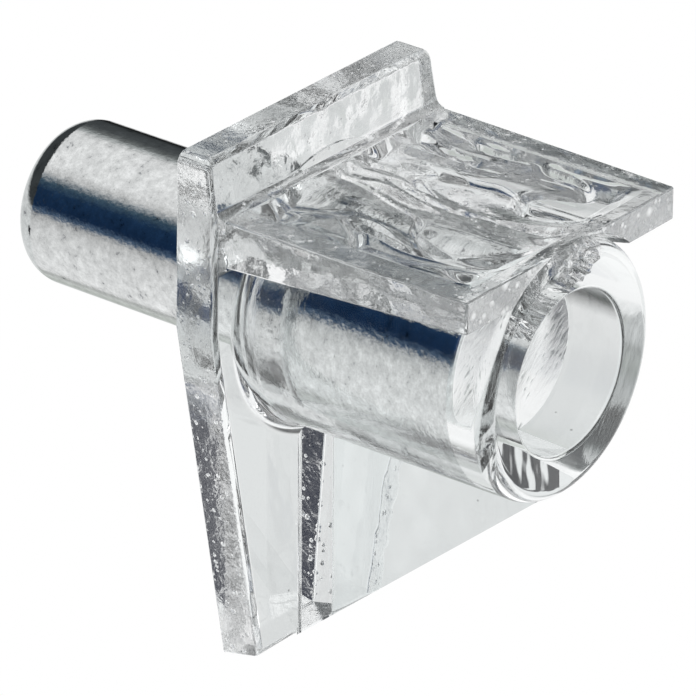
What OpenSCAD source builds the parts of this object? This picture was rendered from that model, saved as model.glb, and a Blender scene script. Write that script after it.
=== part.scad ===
// Shelf support pin: a clear moulded bracket with a plain steel pin pressed into its barrel.
// The pin's axis is the Y axis. The back of the plate is the plane y = 0: the pin's free end
// stands out towards +Y, into the cabinet's side, and the shelf face reaches out towards -Y.

/* [Steel pin] */
// Diameter of the pin, which fits a standard shelf hole
pin_d = 5; // [3:0.1:7]
// How far the pin stands out behind the plate
pin_reach = 8.6; // [6:0.1:14]
// Radius of the tumbled edge of the pin's free end
pin_nose_r = 0.9; // [0.3:0.05:1.2]
// How far inside the barrel's mouth the pin ends
pin_recess = 1.8; // [0.3:0.1:3]
// Radius of the edge of the pin's inner end
pin_edge_r = 0.15; // [0.05:0.05:0.8]

/* [Barrel] */
// Wall of clear plastic round the pin
barrel_wall = 1.45; // [0.8:0.05:2.5]
// Draft of the bore: the radius it loses between the back of the plate and its mouth
bore_draft = 0.05; // [0.01:0.01:0.15]
// Radius of the edge of the bore's mouth
mouth_r = 0.12; // [0.05:0.01:0.4]
// Draft of the barrel: the radius it loses between the plate and its front face
barrel_draft = 0.05; // [0:0.01:0.2]
// Radius of the barrel's front edge
barrel_edge_r = 0.5; // [0.1:0.05:0.9]
// Radius of the cove where the barrel meets the plate
barrel_root_r = 0.52; // [0.2:0.02:1]
// Width of the groove between the barrel's front edge and the shelf arm
groove_w = 0.16; // [0.05:0.01:0.4]

/* [Back plate] */
// Thickness of the plate behind the shelf face and below it
plate_t = 1.4; // [0.8:0.1:3]
// Widest part of the plate, beside the pin
plate_w = 10.35; // [8:0.05:16]
// Width of the plate along its top edge
plate_top_w = 10.15; // [7:0.05:16]
// Width of the plate's foot
foot_w = 6.3; // [3:0.1:12]
// Depth of the foot below the pin's axis
foot_drop = 11; // [8:0.1:20]
// Height above the pin's axis where the sides start to taper
taper_z = 0.33; // [-2:0.01:2]
// Rise of the foot's underside from its back edge to its front edge
foot_rise = 0.32; // [0.1:0.02:0.6]
// Height of the lip above the shelf face
lip_h = 1.7; // [0.8:0.1:5]
// Thickness of the lip at its top edge
lip_t = 1.1; // [0.5:0.05:2]
// Radius of the plate's two top corners
corner_r = 0.35; // [0.1:0.05:0.8]
// Radius of the lip's top front edge
lip_edge_r = 0.22; // [0.1:0.02:0.4]
// Radius of the foot's front edge
foot_edge_r = 0.15; // [0.05:0.05:0.4]

/* [Shelf arm] */
// Height of the shelf face above the pin's axis
shelf_z = 4; // [3:0.05:7]
// Reach of the shelf face in front of the plate
shelf_reach = 8.6; // [6:0.1:14]
// Width of the shelf arm at the plate
shelf_root_w = 9.95; // [7:0.05:16]
// Width of the shelf arm at its front edge
shelf_end_w = 9.6; // [6:0.05:16]
// Thickness of the shelf arm at the plate
shelf_root_t = 1.5; // [0.8:0.05:2]
// Thickness of the shelf arm at its front edge
shelf_end_t = 1; // [0.5:0.05:2]
// Radius of the shelf arm's two front corners
shelf_corner_r = 0.12; // [0.05:0.01:0.6]
// Radius of the coves where the shelf arm meets the plate
shelf_root_r = 0.3; // [0.1:0.05:0.6]

/* [Rib] */
// Thickness of the rib where it leaves the plate
rib_root_t = 2.7; // [1:0.1:4]
// Thickness of the rib below the barrel's front end
rib_end_t = 1.7; // [0.8:0.1:4]
// Radius of the coves down both sides of the rib's root
rib_root_r = 0.1; // [0.1:0.05:0.6]

/* [Hidden] */

pin_r = pin_d / 2;
barrel_r = pin_r + barrel_wall;
barrel_end_r = barrel_r - barrel_draft;
plate_y = -plate_t;
front_y = plate_y - shelf_reach;
bore_end = -front_y;
mouth_d = bore_end - mouth_r;
pin_hold = bore_end - pin_recess;
lip_z = shelf_z + lip_h;
foot_z = -foot_drop;
foot_front_z = foot_z + foot_rise;
rib_end_y = front_y + barrel_edge_r;
// Sides of a full turn, and of a cove's circle; steps in a rounded corner
round_fn = 96;
cove_fn = 32;
cove_steps = 6;
// How far a cut runs past the face that it opens, and how far one form runs into another
past = 1;
weld = 0.05;
eps = 0.01;

// Points of an arc about c, from angle a to angle b
function arc(c, r, a, b, n = cove_steps) =
    [for (i = [0:n]) c + r * [cos(a + (b - a) * i / n), sin(a + (b - a) * i / n)]];

// Unit vector from p to q
function unit(p, q) = (q - p) / norm(q - p);

// Points of the arc that rounds corner q of the outline p, q, s by radius r
function rounded(p, q, s, r) =
    let (u = unit(q, p), v = unit(q, s),
         half = acos(u * v) / 2,
         c = q + (u + v) / norm(u + v) * r / sin(half),
         start = q + u * r / tan(half) - c,
         finish = q + v * r / tan(half) - c,
         a = atan2(start.y, start.x),
         turn = atan2(finish.y, finish.x) - a,
         sweep = turn > 180 ? turn - 360 : turn < -180 ? turn + 360 : turn)
    arc(c, r, a, a + sweep);

// An outline with each of its corners rounded by the radius listed for it, or left sharp at 0
function soft_outline(pts, radii) =
    let (n = len(pts))
    [for (i = [0:n - 1])
        each radii[i] > 0
            ? rounded(pts[(i + n - 1) % n], pts[i], pts[(i + 1) % n], radii[i])
            : [pts[i]]];

// A shape drawn in the Y-Z plane, made w wide across X and centred on x = 0
module across(w) {
    translate([-w / 2, 0, 0])
        rotate([90, 0, 90])
            linear_extrude(height = w) children();
}

// A profile drawn as (radius, distance along -Y), turned about the pin's axis
module turned() {
    rotate([90, 0, 0])
        rotate_extrude($fn = round_fn) children();
}

// The plate's side view: lip thinned towards its top, foot rising to the front
module plate_side() {
    polygon(soft_outline(
        [[0, foot_z], [0, lip_z], [-lip_t, lip_z], [plate_y, shelf_z],
         [plate_y, foot_front_z]],
        [0, 0, lip_edge_r, 0, foot_edge_r]));
}

// The plate's front view: straight beside the barrel, tapered down to the foot
module plate_front() {
    half = [[foot_w / 2, foot_z], [plate_w / 2, taper_z], [plate_top_w / 2, lip_z]];
    mirrored = [for (i = [2:-1:0]) [-half[i].x, half[i].y]];
    polygon(soft_outline(
        concat(half, mirrored),
        [0, 0, corner_r, corner_r, 0, 0]));
}

module plate() {
    intersection() {
        across(plate_w) plate_side();
        rotate([90, 0, 0])
            linear_extrude(height = plate_t) plate_front();
    }
}

// The shelf arm: narrower and thinner towards its front edge, so that it leaves the mould
module shelf_arm() {
    intersection() {
        across(shelf_root_w)
            polygon([[plate_y / 2, shelf_z], [front_y, shelf_z],
                     [front_y, shelf_z - shelf_end_t],
                     [plate_y, shelf_z - shelf_root_t],
                     [plate_y / 2, shelf_z - shelf_root_t]]);
        linear_extrude(height = shelf_z + eps)
            polygon(soft_outline(
                [[-shelf_root_w / 2, plate_y / 2], [-shelf_root_w / 2, plate_y],
                 [-shelf_end_w / 2, front_y], [shelf_end_w / 2, front_y],
                 [shelf_root_w / 2, plate_y], [shelf_root_w / 2, plate_y / 2]],
                [0, 0, shelf_corner_r, shelf_corner_r, 0, 0]));
    }
}

// A cove of radius r in the corner between the plate's face and a face at height z
module plate_cove(r, z, w, up) {
    across(w)
        difference() {
            translate([plate_y - r, up ? z - eps : z - r])
                square([r + eps, r + eps]);
            translate([plate_y - r, up ? z + r : z - r])
                circle(r = r, $fn = cove_fn);
        }
}

// Centre of the arc that rounds the barrel's front edge
function barrel_edge_c() = [barrel_end_r - barrel_edge_r, bore_end - barrel_edge_r];

// Barrel with a cove at its root and a rounded front edge, cut off flat by the shelf face
module barrel() {
    difference() {
        turned()
            polygon(concat(
                [[0, plate_t / 2], [barrel_r + barrel_root_r, plate_t / 2]],
                arc([barrel_r + barrel_root_r, plate_t + barrel_root_r],
                    barrel_root_r, -90, -180),
                arc(barrel_edge_c(), barrel_edge_r, 0, 90),
                [[0, bore_end]]));
        across(2 * plate_w)
            polygon([[plate_y, shelf_z], [front_y - past, shelf_z],
                     [front_y - past, lip_z + past], [plate_y, lip_z + past]]);
    }
}

// The groove between the barrel's rounded front edge and the arm's front face
module front_groove() {
    turned()
        polygon(concat(
            arc(barrel_edge_c(), barrel_edge_r, 90, 0),
            [[barrel_end_r + groove_w, bore_end], [barrel_end_r + groove_w, bore_end + past],
             [barrel_end_r - barrel_edge_r, bore_end + past]]));
}

// Triangular rib from the plate's foot to the underside of the barrel's front end
module rib() {
    intersection() {
        across(2 * barrel_r)
            polygon([[plate_y / 2, 0], [rib_end_y, 0], [rib_end_y, -barrel_r + weld],
                     [plate_y, foot_front_z], [plate_y / 2, foot_front_z]]);
        translate([0, 0, foot_z])
            linear_extrude(height = foot_drop) rib_plan();
    }
}

// The rib seen from above: drafted sides, with a cove down each side of its root
module rib_plan() {
    half = [[rib_root_t / 2 + rib_root_r, plate_y / 2], [rib_root_t / 2 + rib_root_r, plate_y]];
    cove = arc([rib_root_t / 2 + rib_root_r, plate_y - rib_root_r], rib_root_r, 90, 180);
    side = concat(half, cove, [[rib_end_t / 2, rib_end_y]]);
    polygon(concat(side, [for (i = [len(side) - 1:-1:0]) [-side[i].x, side[i].y]]));
}

// Radius of the bore at depth d from the back of the plate
function bore_r(d) = pin_r - bore_draft * d / bore_end;

// The bore, right through plate and barrel: as wide as the pin at the back, and drafted
// towards its rounded mouth, because its core was drawn out of the mould backwards
module pin_bore() {
    turned()
        polygon(concat(
            [[0, -past], [pin_r, -past], [pin_r, 0]],
            arc([bore_r(mouth_d) + mouth_r, mouth_d], mouth_r, 180, 90),
            [[bore_r(mouth_d) + mouth_r, bore_end + past], [0, bore_end + past]]));
}

module clear_bracket() {
    color([0.86, 0.88, 0.89, 0.45])
        difference() {
            union() {
                plate();
                difference() {
                    shelf_arm();
                    front_groove();
                }
                plate_cove(shelf_root_r, shelf_z, shelf_root_w, true);
                plate_cove(shelf_root_r, shelf_z - shelf_root_t, shelf_root_w, false);
                barrel();
                rib();
            }
            pin_bore();
        }
}

// The pin: straight where it stands free, and as tapered as the bore where that grips it
module steel_pin() {
    edge = pin_hold - pin_edge_r;
    color([0.62, 0.63, 0.65])
        turned()
            polygon(concat(
                [[0, -pin_reach]],
                arc([pin_r - pin_nose_r, pin_nose_r - pin_reach], pin_nose_r, -90, 0),
                [[pin_r, 0]],
                arc([bore_r(edge) - pin_edge_r, edge], pin_edge_r, 0, 90),
                [[0, pin_hold]]));
}

clear_bracket();
steel_pin();
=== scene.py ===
# %% [markdown]
# # A clear shelf support pin
# A small bracket of clear moulded plastic carries the end of a shelf. A plain steel pin is pressed into
# its barrel and plugs into a hole in the cabinet's side. This notebook builds both pieces as meshes that
# light can pass through properly, gives them their real finishes, and sets up a small studio round them.

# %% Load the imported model
import math
import random

import bmesh
import bpy
from mathutils import Matrix, Vector, noise


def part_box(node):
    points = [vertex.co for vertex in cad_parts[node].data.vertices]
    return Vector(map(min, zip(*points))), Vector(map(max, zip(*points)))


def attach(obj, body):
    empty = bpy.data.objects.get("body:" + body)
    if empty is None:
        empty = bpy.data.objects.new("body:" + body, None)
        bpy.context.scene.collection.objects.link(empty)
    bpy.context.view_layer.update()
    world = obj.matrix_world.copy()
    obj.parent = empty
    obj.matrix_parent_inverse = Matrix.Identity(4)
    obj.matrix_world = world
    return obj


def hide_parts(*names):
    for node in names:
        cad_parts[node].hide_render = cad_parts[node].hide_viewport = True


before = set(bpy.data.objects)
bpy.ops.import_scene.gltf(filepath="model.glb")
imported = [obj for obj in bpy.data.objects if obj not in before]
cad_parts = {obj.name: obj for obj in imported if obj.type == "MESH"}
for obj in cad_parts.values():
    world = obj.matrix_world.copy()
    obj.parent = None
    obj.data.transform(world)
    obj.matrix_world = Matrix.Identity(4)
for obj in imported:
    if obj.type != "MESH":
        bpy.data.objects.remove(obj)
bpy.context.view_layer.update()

# %% [markdown]
# ## Sizes
# The part is only 19 mm long, so everything is built in millimetres and scaled to metres at the end.
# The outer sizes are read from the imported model, so that the meshes fill the same box. The rest are the
# wall thicknesses and radii of the moulding, as a toolmaker would write them on a drawing. In the names,
# W is a width, T a thickness, R a radius, and Y or Z a place along that axis.

# %% Sizes in millimetres
MM = 0.001
bracket_low, bracket_high = (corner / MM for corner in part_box("clear_bracket"))
pin_low, pin_high = (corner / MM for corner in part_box("steel_pin"))

FRONT_Y, FOOT_Z, LIP_Z = bracket_low.y, bracket_low.z, bracket_high.z
PLATE_T, PLATE_W, PLATE_TOP_W, FOOT_W = 1.4, 2 * bracket_high.x, 10.15, 6.3
TAPER_Z, FOOT_RISE, LIP_T, CORNER_R = 0.33, 0.32, 1.1, 0.35
SHELF_Z, ARM_ROOT_W, ARM_END_W, ARM_ROOT_T, ARM_END_T = 4.0, 9.95, 9.6, 1.5, 1.0
PLATE_EDGE_R, ARM_EDGE_R, ARM_ROOT_R = 0.2, 0.12, 0.3

PIN_R, PIN_END_Y, PIN_FREE_Y = pin_high.x, pin_low.y, pin_high.y
PIN_NOSE_R, PIN_EDGE_R = 0.9, 0.15
BORE_DRAFT, MOUTH_R = 0.05, 0.12
BARREL_R, BARREL_DRAFT, BARREL_EDGE_R, BARREL_ROOT_R, GROOVE_W = 3.95, 0.05, 0.5, 0.52, 0.16
RIB_ROOT_T, RIB_END_T, RIB_ROOT_R, RIB_TUCK = 2.7, 1.7, 0.1, 0.05
print("bracket from", tuple(bracket_low), "to", tuple(bracket_high))
print("pin from", tuple(pin_low), "to", tuple(pin_high))

# %% [markdown]
# ## Solids between two outlines
# Clear plastic shows every fault in its mesh, because rays go in through one face and out through
# another. So each form starts as a closed solid. It could be drawn by hand, but a loft between two
# outlines keeps the walls exactly even.


# %% Lofts and arcs
def to_object(bm, name):
    """Turns a bmesh in millimetres into an object."""
    bmesh.ops.recalc_face_normals(bm, faces=bm.faces)
    mesh = bpy.data.meshes.new(name)
    bm.to_mesh(mesh)
    bm.free()
    piece = bpy.data.objects.new(name, mesh)
    bpy.context.scene.collection.objects.link(piece)
    return piece


def loft(back, front, name, fold=None):
    """A closed solid between two outlines of as many points. fold gives two corners to crease between."""
    bm = bmesh.new()
    one = [bm.verts.new(point) for point in back]
    two = [bm.verts.new(point) for point in front]
    bm.faces.new(one)
    cap = bm.faces.new(two)
    for i in range(len(one)):
        bm.faces.new((one[i], one[i - 1], two[i - 1], two[i]))
    if fold:
        bmesh.utils.face_split(cap, two[fold[0]], two[fold[1]])
    return to_object(bm, name)


def tell(piece):
    """Prints how wide, deep and high a form is."""
    places = zip(*(corner.co for corner in piece.data.vertices))
    spans = (f"{max(along) - min(along):.2f}" for along in places)
    print(piece.name + ":", " x ".join(spans), "mm")


def arc(centre, radius, start, end, steps=8):
    """Points of an arc between two angles in degrees."""
    angles = [math.radians(start + (end - start) * i / steps) for i in range(steps + 1)]
    return [(centre[0] + radius * math.cos(a), centre[1] + radius * math.sin(a)) for a in angles]


print("a quarter turn is drawn with", len(arc((0, 0), 1, 0, 90)), "points")

# %% [markdown]
# ## Rounded edges
# A moulding's edges are a little round, because a cutter or a spark made them in the mould, and the
# rounding is what draws a bright line along them. It could be modelled in the outlines, but a bevel with
# a weight for each edge is quicker and rounds the corners too. It is done while the form is still simple.


# %% Bevels
def apply_modifiers(piece):
    """Makes what the piece's modifiers show its real mesh."""
    graph = bpy.context.evaluated_depsgraph_get()
    mesh = bpy.data.meshes.new_from_object(piece.evaluated_get(graph))
    piece.modifiers.clear()
    piece.data = mesh
    return piece


def round_edges(piece, radius, share, steps=4):
    """Rounds each edge by its share of the radius: share(middle, direction) is 0 for a sharp edge."""
    bm = bmesh.new()
    bm.from_mesh(piece.data)
    weight = bm.edges.layers.float.new("bevel_weight_edge")
    for edge in bm.edges:
        one, two = edge.verts[0].co, edge.verts[1].co
        edge[weight] = share((one + two) / 2, (two - one).normalized())
    bm.to_mesh(piece.data)
    bm.free()
    bevel = piece.modifiers.new("bevel", "BEVEL")
    bevel.limit_method = "WEIGHT"
    bevel.width = radius
    bevel.segments = steps
    return apply_modifiers(piece)


# %% [markdown]
# ## Back plate
# The plate lies against the cabinet. It is widest beside the pin, tapers to a narrow foot, and rises
# above the shelf face as a thin lip. It is lofted from a flat back outline to a front one that leans in
# at the lip and rises at the foot. Its back edges stay nearly sharp, because the mould parts there.


# %% Back plate
ON_PLANE = 0.01    # a point this near to a plane counts as on it, in millimetres
NEARLY_SHARP = 0.25


def plate_outline():
    right = [(FOOT_W / 2, FOOT_Z), (PLATE_W / 2, TAPER_Z)]
    lean = (PLATE_W - PLATE_TOP_W) / 2 / (LIP_Z - TAPER_Z)
    right += [(PLATE_W / 2 - lean * (SHELF_Z - TAPER_Z), SHELF_Z)]
    right += arc((PLATE_TOP_W / 2 - CORNER_R, LIP_Z - CORNER_R), CORNER_R, 0, 90, 6)
    return right + [(-x, z) for x, z in reversed(right)]


def back_plate():
    outline = plate_outline()

    def front_point(x, z):
        if z == FOOT_Z:
            return (x, -PLATE_T, FOOT_Z + FOOT_RISE)
        up = max(0, (z - SHELF_Z) / (LIP_Z - SHELF_Z))
        return (x, -PLATE_T + up * (PLATE_T - LIP_T), z)

    def edge_share(middle, direction):
        if middle.y > -ON_PLANE:
            return NEARLY_SHARP
        runs_back = abs(middle.y) < LIP_T - 0.05
        is_fold = abs(middle.x) < ON_PLANE and abs(middle.z - SHELF_Z) < ON_PLANE
        return 0 if runs_back or is_fold else 1

    back = [(x, 0, z) for x, z in outline]
    front = [front_point(x, z) for x, z in outline]
    shelf_corner = 2
    fold = (shelf_corner, len(outline) - 1 - shelf_corner)
    return round_edges(loft(back, front, "plate", fold), PLATE_EDGE_R, edge_share)


plate = back_plate()
tell(plate)

# %% [markdown]
# ## Shelf arm
# The arm is a flat shelf, a little narrower and thinner at its front edge so that it leaves the mould.
# A taper like this is one loft between two rectangles.


# %% Shelf arm
FLAT_EDGE_SHARE = 0.6


def shelf_arm():
    def end(width, thickness, y):
        low = SHELF_Z - thickness
        return [(-width / 2, y, SHELF_Z), (width / 2, y, SHELF_Z), (width / 2, y, low), (-width / 2, y, low)]

    root_y = -PLATE_T / 2

    def edge_share(middle, direction):
        if middle.y > root_y - ON_PLANE:
            return 0
        upright = abs(direction.z) > 0.9
        return 1 if upright else FLAT_EDGE_SHARE

    block = loft(end(ARM_ROOT_W, ARM_ROOT_T, root_y), end(ARM_END_W, ARM_END_T, FRONT_Y), "arm")
    return round_edges(block, ARM_EDGE_R, edge_share)


arm = shelf_arm()
tell(arm)

# %% [markdown]
# ## Root coves
# A small cove above and below the arm fills the corner with the plate, where the plastic would crack
# first. Each is a prism between two profiles. The upper one meets the lip, which leans back a little.


# %% Root coves
def root_cove(z, side, lean):
    """side is 1 above the arm and -1 below it. lean is the plate's lean there, in radians."""
    centre_y = -PLATE_T - ARM_ROOT_R * (1 - math.sin(lean)) / math.cos(lean)
    curve = arc((centre_y, z + side * ARM_ROOT_R), ARM_ROOT_R, -side * math.degrees(lean), -side * 90)
    inside_y, inside_z = -PLATE_T / 2, z - side * ARM_ROOT_T / 3
    profile = [(inside_y, curve[0][1])] + curve + [(centre_y, inside_z), (inside_y, inside_z)]
    left, right = ([(x, *point) for point in profile] for x in (-ARM_ROOT_W / 2, ARM_ROOT_W / 2))
    return loft(left, right, "cove")


LIP_LEAN = math.atan2(PLATE_T - LIP_T, LIP_Z - SHELF_Z)
coves = [root_cove(SHELF_Z, 1, LIP_LEAN), root_cove(SHELF_Z - ARM_ROOT_T, -1, 0)]
for cove in coves:
    tell(cove)

# %% [markdown]
# ## Turning and joining
# Round forms are a profile turned about the pin's axis, as on a lathe. In the mould the bracket is a
# single cavity, so its forms run into each other with no seam. A Boolean union gives one skin with
# nothing inside, which glass-like shading needs: overlapping solids would show their hidden walls.


# %% Turned forms and Booleans
def revolve(profile, name, segments=256):
    """Turns a profile of (radius, y) points about the Y axis. Its first and last points are on the axis."""
    bm = bmesh.new()
    turns = [2 * math.pi * i / segments for i in range(segments)]
    rings = []
    for radius, y in profile:
        around = turns if radius > 0 else turns[:1]
        rings.append([bm.verts.new((radius * math.sin(a), y, radius * math.cos(a))) for a in around])
    for one, two in zip(rings, rings[1:]):
        for i in range(segments):
            j = i + 1
            corners = (one[i % len(one)], one[j % len(one)], two[j % len(two)], two[i % len(two)])
            bm.faces.new(list(dict.fromkeys(corners)))
    return to_object(bm, name)


def combine(piece, other, operation):
    """Unites another solid with the piece, or cuts it away, and removes the other."""
    step = piece.modifiers.new(operation, "BOOLEAN")
    step.operation = operation
    step.solver = "MANIFOLD"
    step.object = other
    apply_modifiers(piece)
    bpy.data.objects.remove(other)
    return piece


# %% [markdown]
# ## Barrel
# The barrel is the thick tube that grips the pin. It is turned from a profile, with a cove where it
# leaves the plate and a rounded front edge. The shelf face cuts it off flat, and a fine V-shaped groove
# parts its front edge from the arm. A tool that cuts reaches a little past the plastic, so that no thin
# skin is left.


# %% Barrel and groove
BARREL_END_R = BARREL_R - BARREL_DRAFT
EDGE_CENTRE = (BARREL_END_R - BARREL_EDGE_R, FRONT_Y + BARREL_EDGE_R)
PAST = 2


def barrel():
    root_r = BARREL_R + BARREL_ROOT_R
    profile = [(0, -PLATE_T / 2), (root_r, -PLATE_T / 2)]
    profile += arc((root_r, -PLATE_T - BARREL_ROOT_R), BARREL_ROOT_R, 90, 180, 12)
    profile += arc(EDGE_CENTRE, BARREL_EDGE_R, 0, -90, 16)
    profile += [(0, FRONT_Y)]
    side = BARREL_R + PAST
    above = [(-side, SHELF_Z), (side, SHELF_Z), (side, LIP_Z + PAST), (-side, LIP_Z + PAST)]
    near = [(x, -PLATE_T, z) for x, z in above]
    far = [(x, FRONT_Y - PAST, z) for x, z in above]
    return combine(revolve(profile, "barrel"), loft(near, far, "above"), "DIFFERENCE")


def front_groove():
    outer = BARREL_END_R + GROOVE_W
    profile = [(0, FRONT_Y - PAST), (outer, FRONT_Y - PAST), (outer, FRONT_Y)]
    profile += arc(EDGE_CENTRE, BARREL_EDGE_R, 0, -90, 16)
    profile += [(0, FRONT_Y)]
    return revolve(profile, "groove")


tube = barrel()
groove = front_groove()
tell(tube)

# %% [markdown]
# ## Rib
# A triangular rib props the barrel from the foot of the plate. Seen from above it is a plan with drafted
# sides and a cove down each side of its root, so it is lofted upwards from its sloping lower edge. The
# edge runs out a little inside the barrel, so that it leaves no step there.


# %% Rib
def rib():
    end_y, end_z = FRONT_Y + BARREL_EDGE_R, RIB_TUCK - BARREL_R
    foot_z = FOOT_Z + FOOT_RISE
    slope = (end_z - foot_z) / (end_y + PLATE_T)
    root = RIB_ROOT_T / 2 + RIB_ROOT_R
    side = [(root, -PLATE_T / 2), (root, -PLATE_T)]
    side += arc((root, -PLATE_T - RIB_ROOT_R), RIB_ROOT_R, 90, 180, 8)
    side += [(RIB_END_T / 2, end_y)]
    plan = side + [(-x, y) for x, y in reversed(side)]
    low = [(x, y, foot_z + slope * min(0, y + PLATE_T)) for x, y in plan]
    high = [(x, y, 0) for x, y in plan]
    return loft(low, high, "rib")


prop = rib()
tell(prop)

# %% [markdown]
# ## Bore
# The bore goes right through the plate and the barrel, and the pin ends a little inside its mouth. Where
# plastic grips metal there is no air between them, so light inside the plastic meets the steel directly.
# The bore is therefore made a hundredth of a millimetre narrower than the pin over that stretch.


# %% Bore
GRIP = 0.01


def bore_radius(y):
    return PIN_R - BORE_DRAFT * y / FRONT_Y


def bore():
    contact_y = PIN_END_Y + PIN_EDGE_R
    mouth_y = FRONT_Y + MOUTH_R
    profile = [(0, PAST), (PIN_R - GRIP, PAST), (bore_radius(contact_y) - GRIP, contact_y)]
    profile += [(bore_radius(contact_y), contact_y - GRIP)]
    profile += arc((bore_radius(mouth_y) + MOUTH_R, mouth_y), MOUTH_R, 180, 270, 6)
    profile += [(bore_radius(mouth_y) + MOUTH_R, FRONT_Y - PAST), (0, FRONT_Y - PAST)]
    return revolve(profile, "bore")


hole = bore()
print("the bore narrows to", round(2 * bore_radius(FRONT_Y + MOUTH_R), 2), "mm at its mouth")

# %% [markdown]
# ## Gate scar
# The mould is filled through a small gate in the barrel's front face, above the bore. Breaking off the
# sprue leaves a shallow, ragged pit there. Its outline and depth are random, as a break is, with a fixed
# seed so that every part is the same.


# %% Gate scar
SCAR_X, SCAR_Z, SCAR_HALF_W, SCAR_HALF_H, SCAR_DEPTH = 0.25, 3.2, 1.0, 0.52, 0.32
# from outside the face to the bottom: each ring's reach, depth and raggedness, as shares of the scar's
SCAR_RINGS = [(1.05, -0.3, 0), (1.0, 0, 0), (0.8, 0.55, 0.25), (0.5, 0.85, 0.35), (0.2, 0.8, 0.35)]


def gate_scar(around=28):
    chance = random.Random(5)
    jagged = [chance.uniform(0.78, 1.12) for i in range(around)]
    bm = bmesh.new()
    loops = []
    for reach, depth, ragged in SCAR_RINGS:
        loop = []
        for i in range(around):
            turn = 2 * math.pi * i / around
            wide = reach * (1 + (jagged[i] - 1) * min(1, reach * 1.5))
            deep = depth + ragged * chance.uniform(-1, 1)
            loop.append(bm.verts.new((SCAR_X + SCAR_HALF_W * wide * math.cos(turn),
                                      FRONT_Y + SCAR_DEPTH * deep,
                                      SCAR_Z + SCAR_HALF_H * wide * math.sin(turn))))
        loops.append(loop)
    for one, two in zip(loops, loops[1:]):
        for i in range(around):
            bm.faces.new((one[i - 1], one[i], two[i], two[i - 1]))
    bm.faces.new(loops[0])
    bm.faces.new(loops[-1])
    bmesh.ops.triangulate(bm, faces=bm.faces)
    return to_object(bm, "scar")


scar = gate_scar()
tell(scar)

# %% [markdown]
# ## Sink marks
# Plastic shrinks as it sets, most where it is thickest, so the shelf face sinks in long low waves above
# the barrel. They could be a bump, but light bends at the real slope of the surface, so they are cut with
# a tool whose underside is a fine wavy grid. The waves run along the barrel, as the plastic flowed.


# %% How deep the shelf face sinks
SINK_DEPTH, SINK_GRID = 0.32, 0.05    # the usual depth: the deepest creases reach twice that
FOLD_WIDTH = 0.08                     # in the noise's own units, so that a small one gives a sharp fold

# how far from each edge the face stays flat, and how long the slope is that leads down from there
SIDE_FLAT, SIDE_SLOPE = 0.75, 0.8
FRONT_FLAT, FRONT_SLOPE = 0.45, 0.7
PLATE_FLAT, PLATE_SLOPE = 0.15, 0.5


def streaks(x, y, width, length, layer, drift=0.0):
    """Smooth noise with features of this width and length, in millimetres. Each layer is another pattern."""
    return noise.noise(Vector((x / width + drift, y / length, layer)))


def ramp(distance, length):
    """Rises from 0 to 1 over a length."""
    return min(1, max(0, distance / length))


def sink_depth(x, y):
    """How deep the shelf face has sunk below its flat edges, in millimetres."""
    flow = 1.2 * streaks(x, y, width=1.9, length=5.0, layer=3.1)
    long_waves = streaks(x, y, width=1.2, length=4.2, layer=7.7, drift=flow)
    creases = abs(streaks(x, y, width=1.5, length=4.2, layer=1.3, drift=1.5 * flow))
    fold_line = streaks(x, y, width=1.3, length=4.5, layer=5.9, drift=1.3 * flow)
    fold = math.exp(-(fold_line / FOLD_WIDTH) ** 2)
    deep = 0.62 + 0.7 * long_waves + 0.8 * creases + 0.7 * fold
    from_sides = ramp(ARM_END_W / 2 - SIDE_FLAT - abs(x), SIDE_SLOPE)
    from_front = ramp(y - FRONT_Y - FRONT_FLAT, FRONT_SLOPE)
    from_plate = ramp(-PLATE_T - PLATE_FLAT - y, PLATE_SLOPE)
    return SINK_DEPTH * deep * from_sides * from_front * from_plate


middle_y = (FRONT_Y - PLATE_T) / 2
print("in its middle the shelf face sinks by", round(sink_depth(0, middle_y), 2), "mm")

# %% [markdown]
# ## Tool for the sink marks
# The tool is a block whose underside follows the sunken face. Where the face hasn't sunk, the underside
# stays a hair above it, so that nothing is cut there.


# %% Sink marks
HAIR = 0.002


def sink_marks():
    just_above = SHELF_Z + HAIR
    across = round(ARM_END_W / SINK_GRID)
    along = round((-PLATE_T - FRONT_Y) / SINK_GRID)
    xs = [-ARM_END_W / 2 + ARM_END_W * i / across for i in range(across + 1)]
    ys = [FRONT_Y + (-PLATE_T - FRONT_Y) * j / along for j in range(along + 1)]
    bm = bmesh.new()
    wavy = [[bm.verts.new((x, y, just_above - sink_depth(x, y))) for y in ys] for x in xs]
    top = [[bm.verts.new((x, y, SHELF_Z + PAST)) for y in (ys[0], ys[-1])] for x in (xs[0], xs[-1])]
    for i in range(across):
        for j in range(along):
            bm.faces.new((wavy[i][j], wavy[i + 1][j], wavy[i + 1][j + 1], wavy[i][j + 1]))
    bm.faces.new((top[0][0], top[0][1], top[1][1], top[1][0]))
    bm.faces.new([row[0] for row in wavy] + [top[1][0], top[0][0]])
    bm.faces.new([row[-1] for row in wavy] + [top[1][1], top[0][1]])
    bm.faces.new(wavy[0] + [top[0][1], top[0][0]])
    bm.faces.new(wavy[-1] + [top[1][1], top[1][0]])
    bmesh.ops.triangulate(bm, faces=bm.faces)
    return to_object(bm, "sinks")


sinks = sink_marks()
tell(sinks)

# %% [markdown]
# ## One moulding
# The forms are joined in the order in which they meet, and what cuts them follows. The small coves come
# after the sink marks, so that they stay whole.

# %% Join the bracket
bracket = plate
bracket.name = "bracket"
combine(bracket, combine(arm, groove, "DIFFERENCE"), "UNION")
combine(bracket, tube, "UNION")
combine(bracket, prop, "UNION")
combine(bracket, sinks, "DIFFERENCE")
for cove in coves:
    combine(bracket, cove, "UNION")
combine(bracket, hole, "DIFFERENCE")
combine(bracket, scar, "DIFFERENCE")
tell(bracket)

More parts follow.
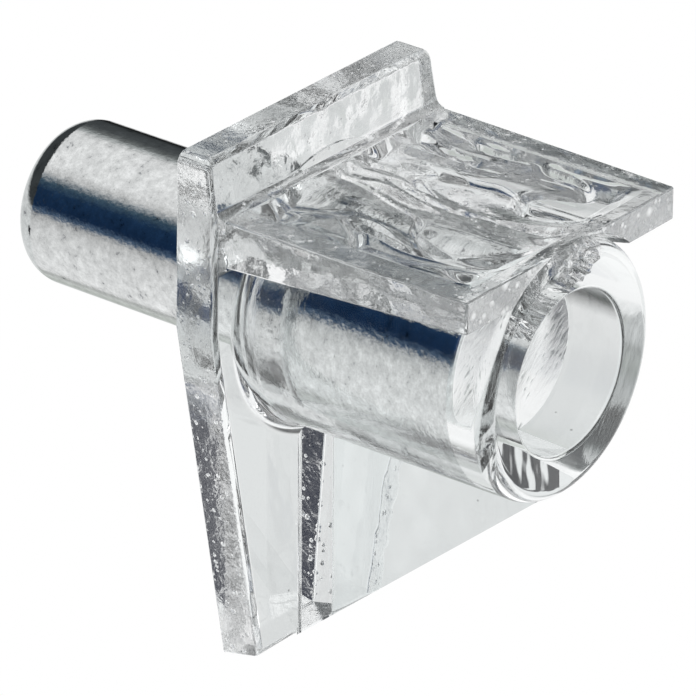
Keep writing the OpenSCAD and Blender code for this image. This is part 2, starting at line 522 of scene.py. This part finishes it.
# %% [markdown]
# ## Steel pin
# The pin is cut from plated wire. Its free end is well rounded so that it finds the hole, and its inner
# end keeps the flat face of the saw cut. It is one profile turned about its axis.


# %% Steel pin
def steel_pin():
    edge_y = PIN_END_Y + PIN_EDGE_R
    profile = [(0, PIN_FREE_Y)]
    profile += arc((PIN_R - PIN_NOSE_R, PIN_FREE_Y - PIN_NOSE_R), PIN_NOSE_R, 90, 0, 16)
    profile += [(PIN_R, 0)]
    profile += arc((bore_radius(edge_y) - PIN_EDGE_R, edge_y), PIN_EDGE_R, 0, -90, 10)
    profile += [(0, PIN_END_Y)]
    return revolve(profile, "pin_shown")


pin = steel_pin()
tell(pin)

# %% [markdown]
# ## Smooth shading
# Smooth shading hides the facets of a round form. The large faces set the normals at their corners,
# because otherwise the flat faces would bend light as if they were bulged. A weighted normal does that,
# and keeps the real edges sharp.


# %% Smooth both pieces and scale them to metres
def finish_mesh(piece, name, sharp_angle=30):
    """Shades the mesh smooth up to the given angle between faces, and scales it to metres."""
    piece.name = name
    piece.data.shade_smooth()
    piece.data.set_sharp_from_angle(angle=math.radians(sharp_angle))
    weighted = piece.modifiers.new("weighted normals", "WEIGHTED_NORMAL")
    weighted.weight = 100
    weighted.keep_sharp = True
    apply_modifiers(piece)
    piece.data.transform(Matrix.Scale(MM, 4))
    print(name, len(piece.data.vertices), "vertices,", len(piece.data.polygons), "faces")


finish_mesh(bracket, "bracket")
finish_mesh(pin, "pin_shown")

# %% [markdown]
# ## Colours and nodes
# Colours are written as sRGB hex values, as a paint chart gives them. Shaders work in linear light, so
# one function converts them. One more function adds a node with its settings and links.


# %% Colour and node helpers
def linear(hex_colour):
    parts = [int(hex_colour[i:i + 2], 16) / 255 for i in (1, 3, 5)]
    return [c / 12.92 if c <= 0.04045 else ((c + 0.055) / 1.055) ** 2.4 for c in parts] + [1]


def add(tree, kind, inputs=None, stops=None, **settings):
    """Adds a node. inputs gives a value or another node's output for each socket, stops fill a ramp."""
    node = tree.nodes.new("ShaderNode" + kind)
    for key, value in settings.items():
        setattr(node, key, value)
    for key, value in (inputs or {}).items():
        if isinstance(value, bpy.types.NodeSocket):
            tree.links.new(value, node.inputs[key])
        else:
            node.inputs[key].default_value = value
    if stops:
        colours = node.color_ramp.elements
        colours.remove(colours[-1])
        colours[0].position, colours[0].color = stops[0][0], linear(stops[0][1])
        for position, colour in stops[1:]:
            colours.new(position).color = linear(colour)
    return node


def new_material(name, **settings):
    """A material with its shader set. Underscores in the names of settings stand for spaces."""
    made = bpy.data.materials.new(name)
    made.use_nodes = True
    shader = made.node_tree.nodes["Principled BSDF"]
    for key, value in settings.items():
        shader.inputs[key.replace("_", " ")].default_value = value
    return made, made.node_tree, shader


def per_mm(size):
    """The scale of a pattern whose features are this many millimetres across."""
    return 1 / (size * MM)


print("mid grey #808080 is", round(linear("#808080")[0], 3), "in linear light")

# %% [markdown]
# ## Clear plastic
# Brackets like this are moulded in clear polystyrene, which is glossy, hard and as clear as window
# glass. Its refractive index of 1.59 is what bends the view and makes the pin look as wide as the barrel.
# Polished steel shaped these faces, so they are smooth. The plastic shrinks as it cools, and leaves low
# waves on the thick parts, which a bump draws at their real length of a few millimetres. The rib's right
# side is a little more uneven, so that what the barrel's rim mirrors through it breaks up.


# %% Clear polystyrene
POLYSTYRENE_IOR = 1.59
DUST_SPACING_MM = 1.7


def clear_polystyrene(name, wave_mm, wave_height_mm):
    made, tree, shader = new_material(name, Roughness=0.0, IOR=POLYSTYRENE_IOR, Transmission_Weight=1.0)
    place = add(tree, "TexCoord").outputs["Object"]
    waves = add(tree, "TexNoise", {"Vector": place, "Scale": per_mm(wave_mm), "Detail": 1.5})
    bump = add(tree, "Bump", {"Height": waves.outputs["Fac"], "Distance": wave_height_mm * MM})
    tree.links.new(bump.outputs["Normal"], shader.inputs["Normal"])
    # a few specks of dust, each in the middle of its own cell
    dust = add(tree, "TexVoronoi", {"Vector": place, "Scale": per_mm(DUST_SPACING_MM)})
    tint = add(tree, "ValToRGB", {"Fac": dust.outputs["Distance"]}, stops=[
        (0.0, "#505252"), (0.018, "#707272"), (0.035, "#FBFDFD")])
    tree.links.new(tint.outputs["Color"], shader.inputs["Base Color"])
    print(name + ": waves", wave_mm, "mm long and", wave_height_mm, "mm high")
    return made


polished = clear_polystyrene("polished polystyrene", wave_mm=3.0, wave_height_mm=0.012)
sunken = clear_polystyrene("polystyrene with sink waves", wave_mm=0.7, wave_height_mm=0.006)
uneven = clear_polystyrene("uneven polystyrene", wave_mm=1.9, wave_height_mm=0.05)

# %% [markdown]
# ## Etched plastic
# The edges of the plate and the arm were left as the spark eroder cut them in the mould, so they are
# matt, with a slow swell, a fine grain and small pits of many sizes. The grain scatters the light that
# comes through, and the rough bottom of a pit shows as a white dot. The arm's front is coarser and more
# frosted, and the lip's front and the arm's sides are smoother, with a stronger swell that makes blotches.
# The real grain is only a few hundredths of a millimetre wide, so it is drawn as coarse as it needs to show.


# %% Etched polystyrene
PIT_DEPTH_MM = 0.04
PIT_RARITY = 2.2       # a higher power leaves fewer large pits
PIT_CLEARNESS = 0.1    # the share of light that the bottom of a pit lets through


def etched_polystyrene(name, roughness, clear_share, pit_mm, pit_share, swell_mm, swell_height_mm,
                       grain_mm, grain_height_mm):
    made, tree, shader = new_material(name, Base_Color=linear("#FDFEFE"), Roughness=roughness,
                                      IOR=POLYSTYRENE_IOR, Transmission_Weight=1.0)
    place = add(tree, "TexCoord").outputs["Object"]
    swell = add(tree, "TexNoise", {"Vector": place, "Scale": per_mm(swell_mm), "Detail": 1.0})
    grain = add(tree, "TexNoise", {"Vector": place, "Scale": per_mm(grain_mm), "Detail": 3.0})
    pits = add(tree, "TexVoronoi", {"Vector": place, "Scale": per_mm(pit_mm), "Randomness": 1.0})
    # each pit has its own size, from the random colour of its cell
    sizes = add(tree, "Math", {0: pits.outputs["Color"], 1: PIT_RARITY}, operation="POWER")
    reach = add(tree, "Math", {0: sizes.outputs["Value"], 1: pit_share}, operation="MULTIPLY")
    round_pits = add(tree, "MapRange", {"Value": pits.outputs["Distance"],
                                        "From Max": reach.outputs["Value"]})
    swelling = add(tree, "Bump", {"Height": swell.outputs["Fac"], "Distance": swell_height_mm * MM})
    ground = add(tree, "Bump", {"Height": grain.outputs["Fac"], "Distance": grain_height_mm * MM,
                                "Normal": swelling.outputs["Normal"]})
    dimples = add(tree, "Bump", {"Height": round_pits.outputs["Result"], "Distance": PIT_DEPTH_MM * MM,
                                 "Normal": ground.outputs["Normal"]})
    # a pit's rough bottom scatters light, so it shows as a white dot
    clear = add(tree, "MapRange", {"Value": round_pits.outputs["Result"], "From Min": 0.3,
                                   "From Max": 0.8, "To Min": PIT_CLEARNESS, "To Max": clear_share})
    tree.links.new(clear.outputs["Result"], shader.inputs["Transmission Weight"])
    tree.links.new(dimples.outputs["Normal"], shader.inputs["Normal"])
    print(name + ": pits", pit_mm, "mm apart and grain", grain_mm, "mm wide")
    return made


etched = etched_polystyrene("etched polystyrene", roughness=0.16, clear_share=1.0,
                            pit_mm=0.2, pit_share=0.65, swell_mm=0.9, swell_height_mm=0.06,
                            grain_mm=0.18, grain_height_mm=0.020)
frosted = etched_polystyrene("frosted polystyrene", roughness=0.2, clear_share=0.72,
                             pit_mm=0.3, pit_share=1.1, swell_mm=0.5, swell_height_mm=0.08,
                             grain_mm=0.16, grain_height_mm=0.045)
blotched = etched_polystyrene("blotched polystyrene", roughness=0.1, clear_share=1.0,
                              pit_mm=0.2, pit_share=0.3, swell_mm=1.1, swell_height_mm=0.18,
                              grain_mm=0.25, grain_height_mm=0.022)

# %% [markdown]
# ## Zinc-plated steel
# The wire is bright zinc over steel. Handling and tumbling leave a fine grain, so that the edges of what
# it mirrors are ragged and not blurred. The real grain is finer, so it is drawn as coarse as it needs to
# show. A metal keeps its colour in the base colour.


# %% Plated steel
def plated_steel():
    made, tree, shader = new_material("zinc-plated steel", Roughness=0.07, Metallic=1.0)
    place = add(tree, "TexCoord").outputs["Object"]
    grain = add(tree, "TexNoise", {"Vector": place, "Scale": per_mm(0.15), "Detail": 2.0, "Roughness": 0.5})
    rough_grain = add(tree, "Bump", {"Height": grain.outputs["Fac"], "Distance": 0.005 * MM})
    # the specks and stains that tumbling leaves are darker than the zinc round them
    stains = add(tree, "TexNoise", {"Vector": place, "Scale": per_mm(0.35), "Detail": 6.0, "Roughness": 0.8})
    tint = add(tree, "ValToRGB", {"Fac": stains.outputs["Fac"]}, stops=[
        (0.31, "#3E4042"), (0.35, "#94969A"), (0.39, "#C6C8C8"), (0.50, "#D6D8D8"), (0.66, "#EEF0F0")])
    tree.links.new(tint.outputs["Color"], shader.inputs["Base Color"])
    tree.links.new(rough_grain.outputs["Normal"], shader.inputs["Normal"])
    return made


plated = plated_steel()
print(plated.name, "made")

# %% [markdown]
# ## Sawn steel
# The saw that cut the wire left its strokes across the end, in patches where it bit deeper. They are a
# noise that is stretched along the strokes and turned to their direction.


# %% Sawn steel
STROKE_MM, STROKE_STRETCH = 0.11, 3
STROKE_TURN = -40    # degrees
PATCH_MM = 1.3


def sawn_steel():
    made, tree, shader = new_material("sawn steel", Roughness=0.25, Metallic=1.0)
    place = add(tree, "TexCoord").outputs["Object"]
    # texture mapping stretches the strokes first and turns them afterwards
    turned = add(tree, "Mapping", {"Vector": place, "Rotation": (0, math.radians(STROKE_TURN), 0),
                                   "Scale": (STROKE_STRETCH, 1, 1)}, vector_type="TEXTURE")
    marks = add(tree, "TexNoise", {"Vector": turned.outputs["Vector"], "Scale": per_mm(STROKE_MM),
                                   "Detail": 1.0})
    patches = add(tree, "TexNoise", {"Vector": place, "Scale": per_mm(PATCH_MM), "Detail": 1.0})
    depth = add(tree, "Math", {0: marks.outputs["Fac"], 1: patches.outputs["Fac"]}, operation="ADD")
    tint = add(tree, "ValToRGB", {"Fac": depth.outputs["Value"]}, stops=[
        (0.62, "#B0B2B2"), (0.72, "#DCDEDE"), (0.80, "#FCFCFC")])
    bump = add(tree, "Bump", {"Height": marks.outputs["Fac"], "Distance": 0.008 * MM})
    tree.links.new(tint.outputs["Color"], shader.inputs["Base Color"])
    tree.links.new(bump.outputs["Normal"], shader.inputs["Normal"])
    return made


sawn = sawn_steel()
print(sawn.name, "made")

# %% [markdown]
# ## Which face has which finish
# A toolmaker polishes the faces that matter and leaves the rest. Here the finish follows from where a
# face is and which way it looks, so that it can be written as one rule. A face looks along an axis when
# nearly all of its normal is along it, and the small allowances take in the rounded edges beside it.


# %% Finishes by face
FACING = 0.9
SCAR_REACH = 1.2


def finish_of(centre, normal):
    """The material of a face of the bracket, from its centre in millimetres and its normal."""
    before_plate = centre.y < -PLATE_T - 0.1
    below_arm = before_plate and centre.z < SHELF_Z - ARM_ROOT_T
    off_axis = math.hypot(centre.x, centre.z)
    from_scar = math.hypot(centre.x - SCAR_X, centre.z - SCAR_Z)

    beside = abs(normal.x) > FACING and abs(centre.x) > FOOT_W / 2 - 0.2 and not below_arm
    on_lip = normal.z > FACING and centre.z > LIP_Z - 0.05
    lip_front = normal.y < -FACING and centre.z > SHELF_Z + 0.3
    under_foot = normal.z < -FACING and centre.z < FOOT_Z + FOOT_RISE + 0.05
    arm_front = normal.y < -FACING and centre.y < FRONT_Y + 0.05 and off_axis > BARREL_END_R
    in_scar = from_scar < SCAR_REACH and centre.y > FRONT_Y + 0.004 and off_axis > PIN_R + MOUTH_R
    flat_rim = normal.z > 0.99 and abs(centre.z - SHELF_Z) < 0.001
    rib_right = normal.x > FACING and below_arm and abs(centre.x) < RIB_ROOT_T / 2
    if arm_front:
        return frosted
    if lip_front or (beside and before_plate):
        return blotched
    if rib_right:
        return uneven
    if beside or on_lip or under_foot or in_scar or flat_rim:
        return etched
    sunk = normal.z > 0.8 and SHELF_Z - 2 * SINK_DEPTH < centre.z < SHELF_Z + 0.02
    return sunken if sunk else polished


def pin_finish(centre, normal):
    return sawn if centre.y < PIN_END_Y + ON_PLANE else plated


def give_finishes(piece, materials, rule):
    """Gives each face one of the materials: rule(centre, normal) says which."""
    piece.data.materials.clear()
    for made in materials:
        piece.data.materials.append(made)
    number = {made.name: index for index, made in enumerate(materials)}
    for face in piece.data.polygons:
        face.material_index = number[rule(face.center / MM, face.normal).name]
    print(piece.name, "has", len(materials), "finishes")


give_finishes(bracket, (polished, sunken, etched, frosted, blotched, uneven), finish_of)
give_finishes(pin, (plated, sawn), pin_finish)

# %% [markdown]
# ## Place in the model
# Nothing moves in this part, so both pieces ride on its one body. Each stands for its solid in the packed
# model.

# %% Tie both pieces to the model
stands_for = ((bracket, "clear_bracket", "clear_plastic"), (pin, "steel_pin", "plated_steel"))
for piece, node, slot in stands_for:
    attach(piece, "root")
    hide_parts(node)
    print(piece.name, "stands for", node)

# %% [markdown]
# ## Studio
# Chrome and glass show what is round them, so the studio is the light. It is a white tent, a little
# dimmer behind the part than in front of it. It could be built from real cards, but the world can hold
# a card as a colour in a range of directions, which needs no geometry and gives little noise.


# %% Hanging a card in the studio
def hang(tree, light, card, *edges):
    """Puts a card before the light. It is absent up to the start of each edge, and whole from its end on."""
    share = 1
    for measure, start, end in edges:
        edge = add(tree, "MapRange", {"Value": measure, "From Min": start, "From Max": end})
        whole = add(tree, "Math", {0: share, 1: edge.outputs["Result"]}, operation="MULTIPLY")
        share = whole.outputs["Value"]
    # in its colour mode, a Mix node takes the colours in sockets 6 and 7
    return add(tree, "Mix", {0: share, 6: light, 7: card}, data_type="RGBA").outputs[2]


def hang_disc(tree, light, card, direction, centre, radius, soft=2.0):
    """Puts a round card before the light, in the centre's direction. Its radius and edge are in degrees."""
    along = add(tree, "VectorMath", {0: direction, 1: Vector(centre).normalized()}, operation="DOT_PRODUCT")
    start, end = (math.cos(math.radians(angle)) for angle in (radius + soft, radius))
    return hang(tree, light, card, (along.outputs["Value"], start, end))


# %% White tent
WHITE = (1, 1, 1, 1)

world = bpy.data.worlds.new("studio")
bpy.context.scene.world = world
world.use_nodes = True
tree = world.node_tree
tree.nodes.clear()
direction = add(tree, "TexCoord").outputs["Generated"]
axes = add(tree, "SeparateXYZ", {"Vector": direction}).outputs
angle = add(tree, "Math", {0: axes["X"], 1: axes["Z"]}, operation="ARCTAN2").outputs["Value"]
turn = add(tree, "MapRange", {"Value": angle, "From Min": -math.pi, "From Max": math.pi}).outputs["Result"]
height = add(tree, "MapRange", {"Value": axes["Z"], "From Min": -1, "From Max": 1}).outputs["Result"]

# by height behind the part, and plain white in front of it
back_tent = add(tree, "ValToRGB", {"Fac": height}, stops=[
    (0, "#E4E6E6"), (0.3, "#E8EAEA"), (0.48, "#DCDEDE"), (0.56, "#E6E8E8"), (0.75, "#FFFFFF")])
light = hang(tree, back_tent.outputs["Color"], WHITE, (axes["Y"], 0.3, 0.0))
print("tent with", len(tree.nodes), "nodes")

# %% [markdown]
# ## Cards in the studio
# Chrome needs something dark to mirror, or it looks like white paint. On the left stands a navy blue
# screen. Behind the part a blue card and a charcoal card stand in one narrow band of directions, the band
# that the pin's flanks mirror towards the camera. Further round that band, steeply below and behind the
# part, grey bands are painted shade of the floor there. The rest is a dim room behind, a small navy flag
# low on the right, and a dark grey patch low on the left, which is seen through the barrel's rim.

# %% Screen, cards, flag and room
def around(colours_by_angle):
    """A ramp's stops, from colours by the angle in degrees from straight up towards +X."""
    return [((degrees + 180) / 360, colour) for degrees, colour in colours_by_angle]


SCREEN = [(-180, "#FFFFFF"), (-135, "#F0F2F2"), (-100, "#E8EAEC"), (-90, "#6A7684"), (-82, "#26344A"),
          (-72, "#1E3A62"), (-54, "#22406A"), (-46, "#A8B4C0"), (-38, "#FFFFFF"), (180, "#FFFFFF")]
screen = add(tree, "ValToRGB", {"Fac": turn}, stops=around(SCREEN)).outputs["Color"]
light = hang(tree, light, screen, (axes["Y"], -0.78, -0.70), (axes["Y"], 0.52, 0.46))

flag, dark_patch, room = linear("#000A26"), linear("#26282C"), linear("#3E4244")
light = hang_disc(tree, light, flag, direction, centre=(0.76, -0.58, -0.29), radius=7.5)
# a dark grey disc low on the left, behind the part
light = hang_disc(tree, light, dark_patch, direction, centre=(-0.59, 0.68, -0.44), radius=4.0)
light = hang(tree, light, room, (axes["Y"], 0.57, 0.61), (axes["Z"], -0.08, 0.06))

# its grey stops from 130 to 174 degrees are painted shade of the floor below and behind the part
CARDS_AND_FLOOR_SHADE = [(-180, "#FFFFFF"), (-160, "#FCFCFC"), (-118, "#F0F0F0"), (-106, "#DFDFDF"), (-97, "#C5C5C5"),
         (-90, "#50647C"), (-82, "#162B48"), (-60, "#1E3654"), (-48, "#465C6C"), (-36, "#DBDBDB"),
         (-24, "#FFFFFF"), (24, "#FFFFFF"), (37, "#F0F0F0"), (46, "#B0B4B4"), (52, "#747878"),
         (63, "#505456"), (86, "#404446"), (97, "#161818"), (103, "#161818"), (111, "#E4E4E4"),
         (130, "#DADCDC"), (146, "#BFC4BF"), (158, "#D7DAD7"), (167, "#BCBEBC"), (174, "#F4F4F4"),
         (180, "#FFFFFF")]
colours_by_angle = add(tree, "ValToRGB", {"Fac": turn}, stops=around(CARDS_AND_FLOOR_SHADE)).outputs["Color"]
light = hang(tree, light, colours_by_angle, (axes["Y"], 0.38, 0.44), (axes["Y"], 0.665, 0.625))

# the eye sees plain white behind the part, and everything else sees the studio
eye = add(tree, "LightPath").outputs["Is Camera Ray"]
seen = add(tree, "Mix", {0: eye, 6: light, 7: WHITE}, data_type="RGBA").outputs[2]
background = add(tree, "Background", {"Color": seen})
add(tree, "OutputWorld", {"Surface": background.outputs["Background"]})
print("studio with", len(tree.nodes), "nodes")

# %% [markdown]
# ## Lamp
# A soft lamp above the left shoulder adds small bright glints on edges and pits. It is an area lamp,
# because a soft box has a face, and its glints have that face's size.


# %% Lamp
def soft_lamp(direction, distance_mm, size_mm, power):
    made = bpy.data.lights.new("soft box", "AREA")
    made.size = size_mm * MM
    made.energy = power
    lamp = bpy.data.objects.new("soft box", made)
    bpy.context.scene.collection.objects.link(lamp)
    lamp.location = Vector(direction).normalized() * distance_mm * MM
    lamp.rotation_euler = lamp.location.to_track_quat("Z", "Y").to_euler()
    print("lamp", distance_mm, "mm from the part")


soft_lamp(direction=(-0.3, -0.2, 0.93), distance_mm=160, size_mm=60, power=0.02)

# %% [markdown]
# ## Floor
# The part hangs above a pale floor, as small hardware is often hung on a thread, so that light comes up
# from below too. The floor shows its own plain white to the eye and in the steel, and still takes the
# part's shadow.


# %% Floor
OWN_WHITE = 0.8


def white_paper():
    made, tree, shader = new_material("white paper", Base_Color=linear("#F4F4F4"), Roughness=0.9)
    path = add(tree, "LightPath").outputs
    seen = add(tree, "Math", {0: path["Is Camera Ray"], 1: path["Is Glossy Ray"]}, operation="MAXIMUM")
    seen = add(tree, "Math", {0: seen.outputs["Value"], 1: path["Is Transmission Ray"]}, operation="MAXIMUM")
    share = add(tree, "Math", {0: seen.outputs["Value"], 1: OWN_WHITE}, operation="MULTIPLY")
    glow = add(tree, "Emission", {"Color": WHITE, "Strength": 1.0})
    blend = add(tree, "MixShader", {0: share.outputs["Value"], 1: shader.outputs["BSDF"],
                                    2: glow.outputs["Emission"]})
    tree.links.new(blend.outputs["Shader"], tree.nodes["Material Output"].inputs["Surface"])
    return made


def pale_floor(depth_mm, radius_mm):
    bm = bmesh.new()
    bmesh.ops.create_circle(bm, cap_ends=True, segments=96, radius=radius_mm * MM)
    mesh = bpy.data.meshes.new("floor")
    bm.to_mesh(mesh)
    bm.free()
    mesh.materials.append(white_paper())
    floor = bpy.data.objects.new("floor", mesh)
    floor.location.z = -depth_mm * MM
    bpy.context.scene.collection.objects.link(floor)
    print("floor", depth_mm, "mm below the part")


pale_floor(depth_mm=100, radius_mm=45)

# %% [markdown]
# ## Light paths
# Light passes between the walls of clear plastic many times before it leaves, so its path may have more
# turns than usual. With too few, the thick parts would go dark.

# %% Light paths
cycles = bpy.context.scene.cycles
cycles.max_bounces = 24
cycles.transmission_bounces = 24
cycles.glossy_bounces = 8
print("light may turn", cycles.max_bounces, "times")

# %% [markdown]
# ## Camera
# A long lens looks from the front left and about 27 degrees above, as a product is usually shown. The
# part is small, so the camera is only 20 cm away.

# %% Camera
AZIMUTH, ELEVATION, ROLL = -51.67, 26.55, 0.27
TARGET = Vector((-0.0997, -2.171, -1.6276)) * MM
DISTANCE = 193.49 * MM
azimuth, elevation, roll = (math.radians(angle) for angle in (AZIMUTH, ELEVATION, ROLL))
back = Vector((math.sin(azimuth) * math.cos(elevation), -math.cos(azimuth) * math.cos(elevation),
               math.sin(elevation)))
camera = bpy.data.objects.new("camera", bpy.data.cameras.new("camera"))
bpy.context.scene.collection.objects.link(camera)
camera.data.sensor_width = 36
camera.data.lens = 349.7
camera.data.clip_start = 0.01
camera.location = TARGET + back * DISTANCE
level = back.to_track_quat("Z", "Y").to_matrix()
camera.rotation_euler = (level @ Matrix.Rotation(roll, 3, "Z")).to_euler()
bpy.context.scene.camera = camera
print("camera at", tuple(round(along / MM) for along in camera.location), "mm")

# %% Finish
bpy.context.scene.view_settings.view_transform = "Standard"
